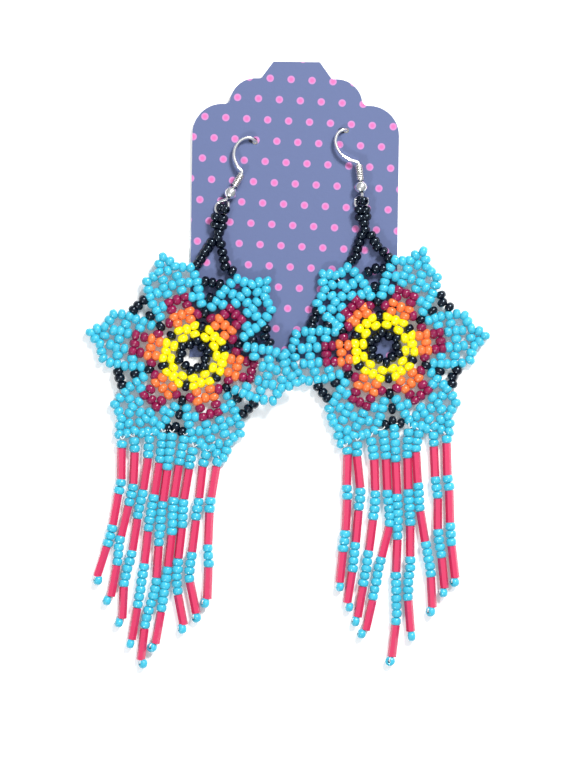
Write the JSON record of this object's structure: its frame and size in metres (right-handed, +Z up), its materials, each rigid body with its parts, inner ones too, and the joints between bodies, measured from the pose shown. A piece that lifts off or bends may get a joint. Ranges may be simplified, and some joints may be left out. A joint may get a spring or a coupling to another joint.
{
  "type": "pair of seed bead dangle earrings on display card",
  "caption": "Netted seed bead flower earrings with bugle bead fringe and French hooks, hung through a stepped display card and lying flat.",
  "frame": {"origin": "centre of the whole pair and card on the surface that they lie on", "axes": "+X across the card to the right as one looks down on it, +Y from the fringes up to the card's top, +Z up from the surface"},
  "size_m": [0.0894, 0.1333, 0.0058],
  "materials": {
    "card": "matt card stock, slate lilac with pink dots",
    "wire": "polished silver wire",
    "coil": "polished fine silver wire, slightly warm",
    "ball": "polished silver ball",
    "jet_bead": "opaque glossy black glass",
    "petal_bead": "opaque turquoise glass",
    "centre_bead": "opaque yellow, orange and dark red glass in rounds",
    "fringe_bead": "opaque coral glass bugles with runs of opaque seed beads"
  },
  "bodies": {
    "root": {"display_card": "card", "left_ear_wire": "wire", "left_wire_coil": "coil", "left_ball_bead": "ball", "left_hanger": "jet_bead", "left_centre_ring": "jet_bead", "left_flower_centre": "centre_bead", "left_petal_links": "jet_bead", "left_petal_1": "petal_bead", "left_petal_2": "petal_bead", "left_petal_3": "petal_bead", "left_petal_4": "petal_bead", "left_petal_5": "petal_bead", "left_petal_6": "petal_bead", "left_strand_1": "fringe_bead", "left_strand_2": "fringe_bead", "left_strand_3": "fringe_bead", "left_strand_4": "fringe_bead", "left_strand_5": "fringe_bead", "left_strand_6": "fringe_bead", "left_strand_7": "fringe_bead", "left_strand_8": "fringe_bead", "left_strand_9": "fringe_bead", "right_ear_wire": "wire", "right_wire_coil": "coil", "right_ball_bead": "ball", "right_hanger": "jet_bead", "right_centre_ring": "jet_bead", "right_flower_centre": "centre_bead", "right_petal_links": "jet_bead", "right_petal_1": "petal_bead", "right_petal_2": "petal_bead", "right_petal_3": "petal_bead", "right_petal_4": "petal_bead", "right_petal_5": "petal_bead", "right_petal_6": "petal_bead", "right_strand_1": "fringe_bead", "right_strand_2": "fringe_bead", "right_strand_3": "fringe_bead", "right_strand_4": "fringe_bead", "right_strand_5": "fringe_bead", "right_strand_6": "fringe_bead", "right_strand_7": "fringe_bead", "right_strand_8": "fringe_bead", "right_strand_9": "fringe_bead"}
  },
  "joints": []
}
